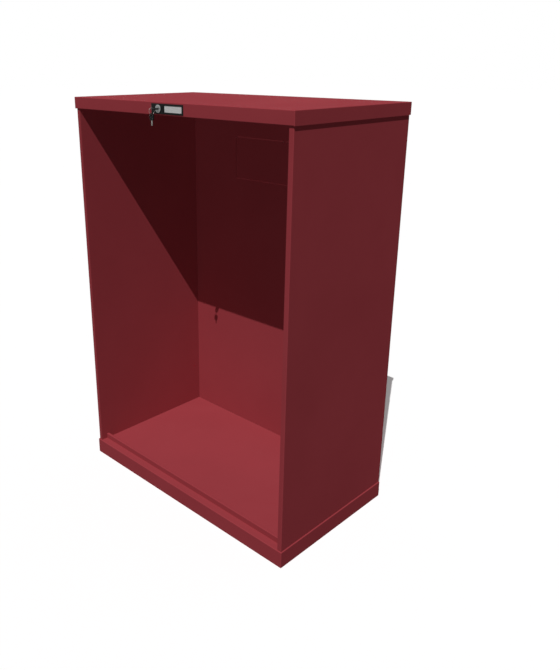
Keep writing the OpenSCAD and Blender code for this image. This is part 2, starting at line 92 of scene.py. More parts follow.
def runs_along(edge, axis):
    """Whether an edge runs along X (0), Y (1) or Z (2)."""
    way = (edge.verts[1].co - edge.verts[0].co).normalized()
    return abs(way[axis]) > 0.999


def use_modifier(piece, kind, **settings):
    """Adds one modifier, sets it and applies it."""
    only(piece)
    modifier = piece.modifiers.new(kind.title(), kind)
    for key, value in settings.items():
        setattr(modifier, key, value)
    bpy.ops.object.modifier_apply(modifier=modifier.name)


def fold_up(piece, sheet, fold):
    """Rounds every fold of an open shell and gives it the thickness of its sheet, inwards."""
    pick(piece, "EDGE", lambda middle, edge: not edge.is_boundary)
    bpy.ops.mesh.bevel(offset=fold, segments=3, affect="EDGES", clamp_overlap=True)
    use_modifier(piece, "SOLIDIFY", thickness=sheet, offset=-1, use_even_offset=True)


def pan(name, low, high, sheet, open_side, fold):
    """A box folded from sheet with one side left open."""
    piece = block(name, low, high)
    open_side = Vector(open_side)
    pick(piece, "FACE", lambda middle, face: face.normal.dot(open_side) > 0.9)
    bpy.ops.mesh.delete(type="FACE")
    fold_up(piece, sheet, fold)
    return piece


def smooth(piece, angle=40):
    """Smooth folds between flat faces: the large faces keep their own normals."""
    only(piece)
    bpy.ops.object.shade_smooth_by_angle(angle=math.radians(angle))
    use_modifier(piece, "WEIGHTED_NORMAL", keep_sharp=True)


def finish(piece, material, slot, body, *nodes):
    """Gives a modelled piece its finish, its body and the nodes that it stands for."""
    smooth(piece)
    piece.data.materials.clear()
    piece.data.materials.append(material)
    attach(piece, body)
    if nodes:
        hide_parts(*nodes)


def add(tree, kind, inputs=None, **settings):
    """One shader node, with its settings and with values or links on its inputs."""
    node = tree.nodes.new("ShaderNode" + kind)
    for key, value in settings.items():
        setattr(node, key, value)
    for socket, value in (inputs or {}).items():
        if isinstance(value, bpy.types.NodeSocket):
            tree.links.new(value, node.inputs[socket])
        else:
            node.inputs[socket].default_value = value
    return node


def new_group(name, inputs, outputs):
    """An empty node group with float inputs and outputs."""
    tree = bpy.data.node_groups.new(name, "ShaderNodeTree")
    for label, value in inputs.items():
        socket = tree.interface.new_socket(label, in_out="INPUT", socket_type="NodeSocketFloat")
        socket.default_value = value
    for label in outputs:
        tree.interface.new_socket(label, in_out="OUTPUT", socket_type="NodeSocketFloat")
    return tree, tree.nodes.new("NodeGroupInput"), tree.nodes.new("NodeGroupOutput")


def edge_rub_group():
    """Where folds and corners are rubbed: the normal leaves the three main directions there."""
    tree, given, result = new_group("edge rub", {"Grain": 60.0, "Amount": 0.5}, ["Mask"])
    place = add(tree, "TexCoord")
    normal = add(tree, "SeparateXYZ", {0: place.outputs["Normal"]})
    across = [add(tree, "Math", {0: normal.outputs[i]}, operation="ABSOLUTE") for i in range(3)]
    pair = add(tree, "Math", {0: across[0].outputs[0], 1: across[1].outputs[0]}, operation="MAXIMUM")
    most = add(tree, "Math", {0: pair.outputs[0], 1: across[2].outputs[0]}, operation="MAXIMUM")
    turn = add(tree, "Math", {0: 1.0, 1: most.outputs[0]}, operation="SUBTRACT")
    bent = add(tree, "MapRange", {"Value": turn.outputs[0], "From Min": 0.05, "From Max": 0.2})
    noise = add(tree, "TexNoise", {"Vector": place.outputs["Object"], "Scale": given.outputs["Grain"],
                                   "Detail": 4.0, "Roughness": 0.6})
    patch = add(tree, "MapRange", {"Value": noise.outputs[0], "From Min": 0.45, "From Max": 0.65})
    mask = add(tree, "Math", {0: bent.outputs[0], 1: patch.outputs[0]}, operation="MULTIPLY")
    part = add(tree, "Math", {0: mask.outputs[0], 1: given.outputs["Amount"]}, operation="MULTIPLY")
    tree.links.new(part.outputs[0], result.inputs["Mask"])
    return tree


def grain_group():
    """A fine even grain as a height, and a broad slow change of tone."""
    tree, given, result = new_group("grain", {"Fine": 700.0, "Broad": 5.0}, ["Height", "Tone"])
    place = add(tree, "TexCoord")
    fine = add(tree, "TexNoise", {"Vector": place.outputs["Object"], "Scale": given.outputs["Fine"],
                                  "Detail": 1.0, "Roughness": 0.4})
    broad = add(tree, "TexNoise", {"Vector": place.outputs["Object"], "Scale": given.outputs["Broad"],
                                   "Detail": 5.0, "Roughness": 0.55})
    tree.links.new(fine.outputs[0], result.inputs["Height"])
    tree.links.new(broad.outputs[0], result.inputs["Tone"])
    return tree


def dust_group():
    """Dust that settles on what faces upwards, in soft patches."""
    tree, given, result = new_group("dust", {"Amount": 0.1}, ["Mask"])
    place = add(tree, "TexCoord")
    normal = add(tree, "SeparateXYZ", {0: place.outputs["Normal"]})
    upward = add(tree, "MapRange", {"Value": normal.outputs[2], "From Min": 0.6, "From Max": 0.98})
    noise = add(tree, "TexNoise", {"Vector": place.outputs["Object"], "Scale": 9.0, "Detail": 6.0,
                                   "Roughness": 0.65})
    patch = add(tree, "MapRange", {"Value": noise.outputs[0], "From Min": 0.35, "From Max": 0.75})
    mask = add(tree, "Math", {0: upward.outputs[0], 1: patch.outputs[0]}, operation="MULTIPLY")
    part = add(tree, "Math", {0: mask.outputs[0], 1: given.outputs["Amount"]}, operation="MULTIPLY")
    tree.links.new(part.outputs[0], result.inputs["Mask"])
    return tree


edge_rub = edge_rub_group()
grain = grain_group()
dust = dust_group()


def place_group(tree, group, **values):
    """One use of a node group, with its own values."""
    node = add(tree, "Group", node_tree=group)
    for label, value in values.items():
        node.inputs[label].default_value = value
    return node


def blend_colour(tree, mask, first, second):
    """A mix of two colours by a mask. Each is a colour or another node's socket."""
    node = tree.nodes.new("ShaderNodeMix")
    node.data_type = "RGBA"
    for socket, value in ((node.inputs[0], mask), (node.inputs[6], first), (node.inputs[7], second)):
        if isinstance(value, bpy.types.NodeSocket):
            tree.links.new(value, socket)
        elif isinstance(value, float):
            socket.default_value = value
        else:
            socket.default_value = (*value, 1.0)
    return node.outputs[2]


def new_material(name):
    """An empty material with its shader and its output, and the tree that holds them."""
    material = bpy.data.materials.new(name)
    material.use_nodes = True
    tree = material.node_tree
    return material, tree, tree.nodes["Principled BSDF"]


def powder_coat():
    """Matt red powder coat: a fine grain, a faint change of tone, rubbed folds, a little dust."""
    red, deep = (0.31, 0.0445, 0.0545), (0.293, 0.041, 0.0505)
    rubbed, dusty = (0.35, 0.062, 0.072), (0.35, 0.11, 0.11)
    material, tree, shader = new_material("red powder coat")
    skin = place_group(tree, grain, Fine=650.0, Broad=4.0)
    folds = place_group(tree, edge_rub, Grain=45.0, Amount=0.5)
    settled = place_group(tree, dust, Amount=0.04)
    tone = add(tree, "MapRange", {"Value": skin.outputs["Tone"], "From Min": 0.35, "From Max": 0.65})
    colour = blend_colour(tree, tone.outputs[0], red, deep)
    colour = blend_colour(tree, folds.outputs[0], colour, rubbed)
    colour = blend_colour(tree, settled.outputs[0], colour, dusty)
    tree.links.new(colour, shader.inputs["Base Color"])
    rough = add(tree, "MapRange", {"Value": skin.outputs["Tone"], "From Min": 0.3, "From Max": 0.7,
                                   "To Min": 0.84, "To Max": 0.92})
    tree.links.new(rough.outputs[0], shader.inputs["Roughness"])
    shader.inputs["Specular IOR Level"].default_value = 0.012
    bump = add(tree, "Bump", {"Strength": 0.12, "Distance": 0.0002, "Height": skin.outputs["Height"]})
    tree.links.new(bump.outputs[0], shader.inputs["Normal"])
    return material


red_coat = powder_coat()

low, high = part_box("base_tray")
tray_sheet, tray_fold = 1.5 * MM, 1.6 * MM
base_tray = pan("base_tray_folded", low, high, tray_sheet, (0, 0, -1), tray_fold)
finish(base_tray, red_coat, "red_powder_coat", "cabinet", "base_tray")

# ---------------------------------------------------------------------------------------------
# Base pan: closes the base and stands on the floor. Two long beads are pressed up into it, between
# the channels that carry the deck, so that the sheet doesn't drum.
low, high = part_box("base_pan")
base_pan = block("base_pan_folded", low, high)
pick(base_pan, "FACE", lambda middle, face: face.normal.z > 0.9)
bpy.ops.mesh.delete(type="FACE")
pan_sheet, pan_fold = 1.5 * MM, 1.5 * MM
bead_x, bead_half, bead_end = 120 * MM, 14 * MM, 60 * MM
bead_slope, bead_depth = 4 * MM, 2.5 * MM
for x in (-bead_x, bead_x):
    for side in (-1, 1):
        pick(base_pan, "FACE", lambda middle, face: face.normal.z < -0.9)
        bpy.ops.mesh.bisect(plane_co=(x + side * bead_half, 0, 0), plane_no=(1, 0, 0))
for y in (low.y + bead_end, high.y - bead_end):
    pick(base_pan, "FACE", lambda middle, face: face.normal.z < -0.9)
    bpy.ops.mesh.bisect(plane_co=(0, y, 0), plane_no=(0, 1, 0))
pick(base_pan, "FACE", lambda middle, face: face.normal.z < -0.9 and abs(middle.y) < high.y - bead_end
     and abs(abs(middle.x) - bead_x) < bead_half)
bpy.ops.mesh.inset(thickness=bead_slope, depth=0)
bpy.ops.transform.translate(value=(0, 0, bead_depth))
only()
sharp = math.radians(69)
pick(base_pan, "EDGE", lambda middle, edge: len(edge.link_faces) == 2 and edge.calc_face_angle() > sharp)
bpy.ops.mesh.bevel(offset=pan_fold, segments=3, affect="EDGES")
use_modifier(base_pan, "SOLIDIFY", thickness=pan_sheet, offset=-1, use_even_offset=True)
finish(base_pan, red_coat, "red_powder_coat", "cabinet", "base_pan")


# ---------------------------------------------------------------------------------------------
# Base channels, bolts and nuts: three channels of galvanised sheet carry the deck on the pan, and
# zinc-plated bolts come up through it into the side panels. The solids already have their shape.
def galvanised():
    """Hot-dip galvanised sheet: grey zinc in faint crystal patches."""
    material, tree, shader = new_material("galvanised sheet")
    place = add(tree, "TexCoord")
    cells = add(tree, "TexVoronoi", {"Vector": place.outputs["Object"], "Scale": 120.0, "Randomness": 1.0})
    shade = add(tree, "SeparateColor", {0: cells.outputs["Color"]})
    skin = place_group(tree, grain, Fine=900.0, Broad=14.0)
    colour = blend_colour(tree, shade.outputs[0], (0.34, 0.35, 0.36), (0.46, 0.47, 0.48))
    tree.links.new(colour, shader.inputs["Base Color"])
    rough = add(tree, "MapRange", {"Value": shade.outputs[1], "To Min": 0.32, "To Max": 0.5})
    tree.links.new(rough.outputs[0], shader.inputs["Roughness"])
    shader.inputs["Metallic"].default_value = 1.0
    bump = add(tree, "Bump", {"Strength": 0.1, "Distance": 0.0002, "Height": skin.outputs["Height"]})
    tree.links.new(bump.outputs[0], shader.inputs["Normal"])
    return material


def plated(name, colour, dull, rough_low, rough_high, fine, metal=1.0):
    """Plated steel: a thin bright coat with faint handling marks, brighter where it is rubbed."""
    material, tree, shader = new_material(name)
    skin = place_group(tree, grain, Fine=fine, Broad=160.0)
    folds = place_group(tree, edge_rub, Grain=500.0, Amount=0.6)
    tone = add(tree, "MapRange", {"Value": skin.outputs["Tone"], "From Min": 0.3, "From Max": 0.7})
    mixed = blend_colour(tree, tone.outputs[0], colour, dull)
    mixed = blend_colour(tree, folds.outputs[0], mixed, tuple(min(1.0, part * 1.15) for part in colour))
    tree.links.new(mixed, shader.inputs["Base Color"])
    rough = add(tree, "MapRange", {"Value": skin.outputs["Tone"], "From Min": 0.3, "From Max": 0.7,
                                   "To Min": rough_low, "To Max": rough_high})
    tree.links.new(rough.outputs[0], shader.inputs["Roughness"])
    shader.inputs["Metallic"].default_value = metal
    bump = add(tree, "Bump", {"Strength": 0.15, "Distance": 0.00005, "Height": skin.outputs["Height"]})
    tree.links.new(bump.outputs[0], shader.inputs["Normal"])
    return material


galvanised_sheet = galvanised()
zinc = plated("zinc plated steel", (0.55, 0.56, 0.57), (0.42, 0.43, 0.45), 0.25, 0.42, 1500.0)


def keep_node(node, material):
    """A solid whose shape is right keeps it, with a finish of its own."""
    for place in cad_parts[node].material_slots:
        place.link = "OBJECT"
        place.material = material


keep_node("base_channels", galvanised_sheet)
keep_node("base_bolts", zinc)
keep_node("base_nuts", zinc)

# ---------------------------------------------------------------------------------------------
# Stop rail: a low hat of sheet across the deck, a little behind its front edge, that keeps the
# books or the bin from sliding out. It is spot welded down along its open side.
low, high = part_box("stop_rail")
rail_sheet, rail_fold = 1.2 * MM, 1.3 * MM
stop_rail = pan("stop_rail_folded", low, high, rail_sheet, (0, 0, -1), rail_fold)
finish(stop_rail, red_coat, "red_powder_coat", "cabinet", "stop_rail")

# ---------------------------------------------------------------------------------------------
# Side panels: each is an outer skin folded round the front, the rear, the top and the foot, and a
# liner that closes it on the inside. The joint between the two shows as a fine line on the edge.
skin_sheet, skin_fold = 1.2 * MM, 1.3 * MM
liner_sheet, liner_fold = 1.0 * MM, 1.0 * MM
for side, outward in (("left", -1), ("right", 1)):
    low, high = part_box(side + "_side_skin")
    skin = pan(side + "_skin_folded", low, high, skin_sheet, (-outward, 0, 0), skin_fold)
    finish(skin, red_coat, "red_powder_coat", "cabinet", side + "_side_skin")
    low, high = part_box(side + "_side_liner")
    liner = pan(side + "_liner_folded", low, high, liner_sheet, (outward, 0, 0), liner_fold)
    finish(liner, red_coat, "red_powder_coat", "cabinet", side + "_side_liner")
inner_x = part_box("right_side_liner")[0].x
keep_node("side_channels", galvanised_sheet)


# ---------------------------------------------------------------------------------------------
# Back panel: a shallow pan between the sides, open to the rear. Its upper part has the cut-out in
# which the flap hangs, and a rivet goes through each of its edges into the panel beside it.
def cut_away(piece, *tools):
    """Takes each tool's shape out of a piece and throws the tool away."""
    for tool in tools:
        use_modifier(piece, "BOOLEAN", operation="DIFFERENCE", solver="EXACT", object=tool)
        bpy.data.objects.remove(tool)


low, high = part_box("back_panel")
flap_low, flap_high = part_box("drop_flap")
back_sheet, back_fold = 1.2 * MM, 1.5 * MM
flap_gap = 1.5 * MM
cut_low = Vector((flap_low.x - flap_gap, low.y - MM, flap_low.z - flap_gap))
cut_high = Vector((flap_high.x + flap_gap, low.y + 3 * MM, flap_high.z + flap_gap))
back_panel = pan("back_panel_folded", low, high, back_sheet, (0, 1, 0), back_fold)
cut_away(back_panel, block("cutter", cut_low, cut_high))
finish(back_panel, red_coat, "red_powder_coat", "cabinet", "back_panel")


# ---------------------------------------------------------------------------------------------
# Slot frame: stands behind the cut-out. Its rim is riveted to the back panel, its lip stops the
# flap, and its cheeks and the lug at its middle hold the ends and the middle of the hinge pin.
def soften(piece, width, segments=2, angle=50):
    """Breaks the sharp edges of a piece, as a tool or a mould leaves them."""
    use_modifier(piece, "BEVEL", width=width, segments=segments, limit_method="ANGLE",
                 angle_limit=math.radians(angle), use_clamp_overlap=True)


def join(name, *pieces):
    """Joins several pieces into one object."""
    only()
    for piece in pieces:
        piece.select_set(True)
    bpy.context.view_layer.objects.active = pieces[0]
    bpy.ops.object.join()
    pieces[0].name = name
    return pieces[0]


low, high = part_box("slot_frame")
rim, lip, lap = 16 * MM, 1.2 * MM, 6 * MM
hinge_z = flap_high.z - 3 * MM
hinge_y = flap_low.y + 3 * MM
slot_frame = block("slot_frame_formed", low, high)
well_low = Vector((low.x + rim, low.y - MM, low.z + rim))
well_high = Vector((high.x - rim, high.y - lip, high.z - rim))
slot_low = Vector((flap_low.x + lap, low.y - MM, flap_low.z + lap))
slot_high = Vector((flap_high.x - lap, high.y + MM, hinge_z - 8 * MM))
cut_away(slot_frame, block("cutter", well_low, well_high), block("cutter", slot_low, slot_high))
soften(slot_frame, 0.5 * MM)
lug_half, lug_drop = 5 * MM, 3 * MM
lug = block("lug", (-lug_half, low.y + 0.2 * MM, hinge_z - lug_drop), (lug_half, well_high.y, well_high.z))
soften(lug, 0.6 * MM)
slot_frame = join("slot_frame_formed", slot_frame, lug)
finish(slot_frame, red_coat, "red_powder_coat", "cabinet", "slot_frame")

# ---------------------------------------------------------------------------------------------
# Drop flap: one plate with its sides and foot folded back, rolled round the hinge pin along its
# top, with a notch in the roll for the frame's lug. It falls shut on two rubber pads.
flap_sheet, flap_fold, flap_hem = 1.2 * MM, 1.2 * MM, 4 * MM
flap_fold_z = hinge_z - 6 * MM
drop_flap = block("drop_flap_rolled", flap_low, (flap_high.x, flap_low.y + flap_hem, flap_fold_z))
pick(drop_flap, "FACE", lambda middle, face: face.normal.y > 0.9 or face.normal.z > 0.9)
bpy.ops.mesh.delete(type="FACE")
pick(drop_flap, "EDGE", lambda middle, edge: not edge.is_boundary)
bpy.ops.mesh.bevel(offset=flap_fold, segments=3, affect="EDGES")
pick(drop_flap, "EDGE", lambda middle, edge: edge.is_boundary and runs_along(edge, 0)
     and middle.z > flap_fold_z - 0.01 * MM and middle.y < flap_low.y + 0.01 * MM)
bpy.ops.mesh.extrude_edges_move(TRANSFORM_OT_translate={"value": (0, 0, hinge_z - flap_fold_z)})
bpy.ops.mesh.spin(steps=22, angle=math.radians(300), center=(0, hinge_y, hinge_z), axis=(1, 0, 0))
use_modifier(drop_flap, "SOLIDIFY", thickness=flap_sheet, offset=-1, use_even_offset=True)
notch = 6 * MM
cut_away(drop_flap, block("cutter", (-notch, flap_low.y - MM, hinge_z - 4 * MM),
                          (notch, hinge_y + 5 * MM, hinge_z + 5 * MM)))
finish(drop_flap, red_coat, "red_powder_coat", "flap", "drop_flap")
keep_node("flap_pin", zinc)


def soft_black(name, colour, worn, rough_low, rough_high, fine, specular):
    """Black rubber or moulded plastic: a fine grain, paler where it is handled."""
    material, tree, shader = new_material(name)
    skin = place_group(tree, grain, Fine=fine, Broad=90.0)
    folds = place_group(tree, edge_rub, Grain=300.0, Amount=0.5)
    tone = add(tree, "MapRange", {"Value": skin.outputs["Tone"], "From Min": 0.3, "From Max": 0.7})
    mixed = blend_colour(tree, tone.outputs[0], colour, tuple(part * 0.85 for part in colour))
    mixed = blend_colour(tree, folds.outputs[0], mixed, worn)
    tree.links.new(mixed, shader.inputs["Base Color"])
    rough = add(tree, "MapRange", {"Value": skin.outputs["Tone"], "From Min": 0.3, "From Max": 0.7,
                                   "To Min": rough_low, "To Max": rough_high})
    tree.links.new(rough.outputs[0], shader.inputs["Roughness"])
    shader.inputs["Specular IOR Level"].default_value = specular
    bump = add(tree, "Bump", {"Strength": 0.25, "Distance": 0.00005, "Height": skin.outputs["Height"]})
    tree.links.new(bump.outputs[0], shader.inputs["Normal"])
    return material


rubber = soft_black("black rubber", (0.012, 0.012, 0.012), (0.03, 0.03, 0.03), 0.75, 0.9, 2500.0, 0.3)
low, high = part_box("flap_buffers")
pad_width = 20 * MM
pads = [block("pad", (x, low.y, low.z), (x + pad_width, high.y, high.z))
        for x in (low.x, high.x - pad_width)]
for pad in pads:
    soften(pad, 0.8 * MM, 3)
flap_pads = join("flap_pads", *pads)
finish(flap_pads, rubber, "black_rubber", "cabinet", "flap_buffers")


# ---------------------------------------------------------------------------------------------
# Rivets: domed heads set in from behind, painted with the cabinet. The frame's rivets are filed
# flush with the wall of the compartment, where books slide past them.
def turned(name, profile, steps=32):
    """A piece turned about Z: each step of the profile is a radius and a height."""
    only()
    bpy.ops.mesh.primitive_circle_add(vertices=steps, radius=profile[0][0], fill_type="NGON",
                                      location=(0, 0, profile[0][1]))
    piece = bpy.context.object
    piece.name = name
    bpy.ops.object.transform_apply(location=True, rotation=True, scale=True)
    bpy.ops.object.mode_set(mode="EDIT")
    bpy.ops.mesh.select_mode(type="FACE")
    bpy.ops.mesh.select_all(action="SELECT")
    for (r0, z0), (r1, z1) in zip(profile, profile[1:]):
        bpy.ops.mesh.extrude_region_move(TRANSFORM_OT_translate={"value": (0, 0, z1 - z0)})
        bpy.ops.transform.resize(value=(r1 / r0, r1 / r0, 1), center_override=(0, 0, z1))
    bpy.ops.mesh.select_all(action="SELECT")
    bpy.ops.mesh.normals_make_consistent(inside=False)
    only(piece)
    return piece


def put(piece, at, turn=(0, 0, 0)):
    """Turns a piece about the origin, moves it to its place and fixes it there."""
    only(piece)
    piece.rotation_euler = [math.radians(angle) for angle in turn]
    piece.location = at
    bpy.ops.object.transform_apply(location=True, rotation=True, scale=True)
    return piece


def copies(master, places):
    """One copy of a finished shape at each place and turn. The master itself is thrown away."""
    made = []
    for at, turn in places:
        twin = master.copy()
        twin.data = master.data.copy()
        bpy.context.collection.objects.link(twin)
        made.append(put(twin, at, turn))
    bpy.data.objects.remove(master)
    return made


# a dome on a flat seat at the origin, with its shank along +Z
rivet_r, head_r = 1.5 * MM, 2.4 * MM
low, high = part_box("slot_frame")
flush_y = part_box("slot_frame_rivets")[0].y
shank = high.y - flush_y
rivet = turned("rivet", [(0.6 * MM, -0.48 * MM), (1.4 * MM, -0.42 * MM), (2.1 * MM, -0.22 * MM),
                         (head_r, 0), (rivet_r, 0.001 * MM), (rivet_r, shank - 0.15 * MM),
                         (rivet_r - 0.15 * MM, shank)], 24)
rim_mid = rim / 2
across = [i * well_high.x / 2 for i in (-1.5, 0, 1.5)]
spots = [(x, z) for x in across for z in (low.z + rim_mid, high.z - rim_mid)]
spots += [(x, (slot_low.z + slot_high.z) / 2) for x in (low.x + rim_mid, high.x - rim_mid)]
places = [((x, high.y, z), (90, 0, 0)) for x, z in spots]
frame_rivets = join("frame_rivets", *copies(rivet, places))
finish(frame_rivets, red_coat, "painted_rivets", "cabinet", "slot_frame_rivets")

rivet = turned("rivet", [(0.6 * MM, -1.0 * MM), (1.3 * MM, -0.86 * MM), (2.0 * MM, -0.45 * MM),
                         (head_r, -0.05 * MM), (head_r, 0), (rivet_r, 0.001 * MM), (rivet_r, 3.4 * MM),
                         (1.0 * MM, 3.7 * MM)], 24)
low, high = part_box("back_rivets")
back_low, back_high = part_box("back_panel")
rivet_y = (low.y + high.y) / 2
end_space, side_space, up_each_side = 85 * MM, 115 * MM, 5
places = []
for i in range(up_each_side):
    z = back_low.z + end_space + i * (back_high.z - back_low.z - 2 * end_space) / (up_each_side - 1)
    for side in (-1, 1):
        places.append(((side * (inner_x - back_sheet), rivet_y, z), (0, side * 90, 0)))
for i in (-1, 0, 1):
    x = i * (inner_x - side_space)
    places.append(((x, rivet_y, back_high.z - back_sheet), (0, 0, 0)))
    places.append(((x, rivet_y, back_low.z + back_sheet), (180, 0, 0)))
back_rivets = join("back_panel_rivets", *copies(rivet, places))
finish(back_rivets, red_coat, "painted_rivets", "cabinet", "back_rivets")

# ---------------------------------------------------------------------------------------------
# Ceiling: a shallow pan, open upwards, that closes the compartment. It stops short of the front,
# so that the lock's cam can turn behind the lip. The cap's channels stand on it.
low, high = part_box("ceiling_panel")
ceiling_sheet, ceiling_fold = 1.2 * MM, 1.5 * MM
ceiling = pan("ceiling_folded", low, high, ceiling_sheet, (0, 0, 1), ceiling_fold)
finish(ceiling, red_coat, "red_powder_coat", "cabinet", "ceiling_panel")
keep_node("cap_channels", galvanised_sheet)

# ---------------------------------------------------------------------------------------------
# Corner brackets: angles of 2 mm sheet with rounded corners, screwed to the liners and up into the
# ceiling by button-head socket screws.
low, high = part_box("cap_brackets")
leg, bracket_half, bracket_sheet = 25 * MM, 20 * MM, 2 * MM
screw_in, screw_dy = 15 * MM, 10 * MM
bracket_y = (low.y + bracket_half, high.y - bracket_half)
brackets, screws = [], []
button = turned("screw", [(3.0 * MM, -2.0 * MM), (3.6 * MM, -1.6 * MM), (4.0 * MM, -0.7 * MM), (4.0 * MM, 0),
                          (2.0 * MM, 0.001 * MM), (2.0 * MM, 7.7 * MM), (1.7 * MM, 8.0 * MM)], 32)
socket_r, socket_depth = 1.45 * MM, 2.8 * MM
bpy.ops.mesh.primitive_cylinder_add(vertices=6, radius=socket_r, depth=socket_depth,
                                    location=(0, 0, -2.0 * MM))
cut_away(button, bpy.context.object)
for outward in (-1, 1):
    for y in bracket_y:
        angle = block("bracket", (inner_x - leg, y - bracket_half, high.z - leg),
                      (inner_x, y + bracket_half, high.z))
        pick(angle, "FACE", lambda middle, face: face.normal.x < 0.9 and face.normal.z < 0.9)
        bpy.ops.mesh.delete(type="FACE")
        pick(angle, "VERT", lambda middle, point: middle.x < inner_x - MM or middle.z < high.z - MM)
        bpy.ops.mesh.bevel(offset=5 * MM, segments=5, affect="VERTICES")
        pick(angle, "EDGE", lambda middle, edge: not edge.is_boundary)
        bpy.ops.mesh.bevel(offset=2.4 * MM, segments=4, affect="EDGES")
        use_modifier(angle, "SOLIDIFY", thickness=bracket_sheet, offset=-1, use_even_offset=True)
        if outward < 0:
            angle.scale.x = -1
            put(angle, (0, 0, 0))
            pick(angle, "FACE", lambda middle, face: True)
            bpy.ops.mesh.normals_make_consistent(inside=False)
        brackets.append(angle)
        for dy in (-screw_dy, screw_dy):
            seat_x, seat_z = inner_x - bracket_sheet, high.z - bracket_sheet
            screws.append(((outward * seat_x, y + dy, high.z - screw_in), (0, outward * 90, 0)))
            screws.append(((outward * (inner_x - screw_in), y + dy, seat_z), (0, 0, 0)))
cap_brackets = join("corner_brackets", *brackets)
finish(cap_brackets, red_coat, "red_powder_coat", "cabinet", "cap_brackets")
bracket_screws = join("socket_screws", *copies(button, screws))
finish(bracket_screws, zinc, "bright_steel", "cabinet", "bracket_screws")

# ---------------------------------------------------------------------------------------------
# Cap: the top and its four lips, folded from one sheet of 1.5 mm steel. The front lip turns back
# along its lower edge, which stiffens it around the lock and leaves no raw edge to the hand.
low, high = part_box("cap_top")
cap_sheet, cap_fold, lip_return = 1.5 * MM, 1.6 * MM, 12 * MM
cap_top = block("cap_folded", low, high)
pick(cap_top, "FACE", lambda middle, face: face.normal.z < -0.9)
bpy.ops.mesh.delete(type="FACE")
pick(cap_top, "EDGE", lambda middle, edge: not edge.is_boundary)
bpy.ops.mesh.bevel(offset=cap_fold, segments=3, affect="EDGES")
pick(cap_top, "EDGE", lambda middle, edge: edge.is_boundary and runs_along(edge, 0)
     and middle.y < low.y + MM)
bpy.ops.mesh.extrude_edges_move(TRANSFORM_OT_translate={"value": (0, lip_return, 0)})
pick(cap_top, "EDGE", lambda middle, edge: not edge.is_boundary and runs_along(edge, 0)
     and middle.y < low.y + 0.01 * MM and middle.z < low.z + 0.01 * MM)
bpy.ops.mesh.bevel(offset=cap_fold, segments=3, affect="EDGES")
use_modifier(cap_top, "SOLIDIFY", thickness=cap_sheet, offset=-1, use_even_offset=True)
finish(cap_top, red_coat, "red_powder_coat", "cabinet", "cap_top")

# ---------------------------------------------------------------------------------------------
# Bezel: one black moulding on the front lip, with a round seat for the lock and a window for the
# label. Two pegs hold it in the lip. Its face has a low rim and softened edges.
barrel_low, barrel_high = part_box("lock_barrel")
barrel_mid = (barrel_low + barrel_high) / 2
lock = Vector((barrel_mid.x, barrel_low.y, barrel_mid.z))
lip_y = low.y
low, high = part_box("lock_bezel")
window_low, window_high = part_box("label_window")
window_lap, pocket_gap = 1.5 * MM, 0.1 * MM
rim_width, rim_step = 0.45 * MM, 0.15 * MM
moulding = soft_black("black moulding", (0.0062, 0.0068, 0.0066), (0.014, 0.014, 0.014),
                      0.5, 0.62, 1800.0, 0.07)
bezel = block("bezel_moulded", low, (high.x, lip_y, high.z))
pick(bezel, "EDGE", lambda middle, edge: runs_along(edge, 1))
bpy.ops.mesh.bevel(offset=1.2 * MM, segments=5, affect="EDGES")
pick(bezel, "EDGE", lambda middle, edge: middle.y < low.y + 0.01 * MM)
bpy.ops.mesh.bevel(offset=0.5 * MM, segments=3, affect="EDGES")
pick(bezel, "FACE", lambda middle, face: face.normal.y < -0.999)
bpy.ops.mesh.inset(thickness=rim_width, depth=0)
bpy.ops.mesh.inset(thickness=rim_step, depth=-rim_step)
only()
flange_r = (barrel_high.x - barrel_low.x) / 2
seat_gap = 0.1 * MM
bpy.ops.mesh.primitive_cylinder_add(vertices=64, radius=flange_r + seat_gap, depth=8 * MM,
                                    location=lock, rotation=(math.pi / 2, 0, 0))
seat = bpy.context.object
opening_low = Vector((window_low.x + window_lap, low.y - MM, window_low.z + window_lap))
opening_high = Vector((window_high.x - window_lap, lip_y + MM, window_high.z - window_lap))
pocket = block("cutter", (window_low.x - pocket_gap, window_low.y, window_low.z - pocket_gap),
               (window_high.x + pocket_gap, lip_y + MM, window_high.z + pocket_gap))
opening = block("cutter", opening_low, opening_high)
pick(opening, "EDGE", lambda middle, edge: runs_along(edge, 1))
bpy.ops.mesh.bevel(offset=0.8 * MM, segments=3, affect="EDGES")
cut_away(bezel, seat, opening, pocket)
peg_in = 2 * MM
pegs = []
for x in (low.x + peg_in, high.x - peg_in):
    peg = turned("peg", [(1.5 * MM, 0), (1.5 * MM, 3.0 * MM), (1.1 * MM, 3.5 * MM)], 20)
    pegs.append(put(peg, (x, lip_y - 0.2 * MM, lock.z), (-90, 0, 0)))
bezel = join("bezel_moulded", bezel, *pegs)
finish(bezel, moulding, "black_moulding", "cabinet", "lock_bezel")


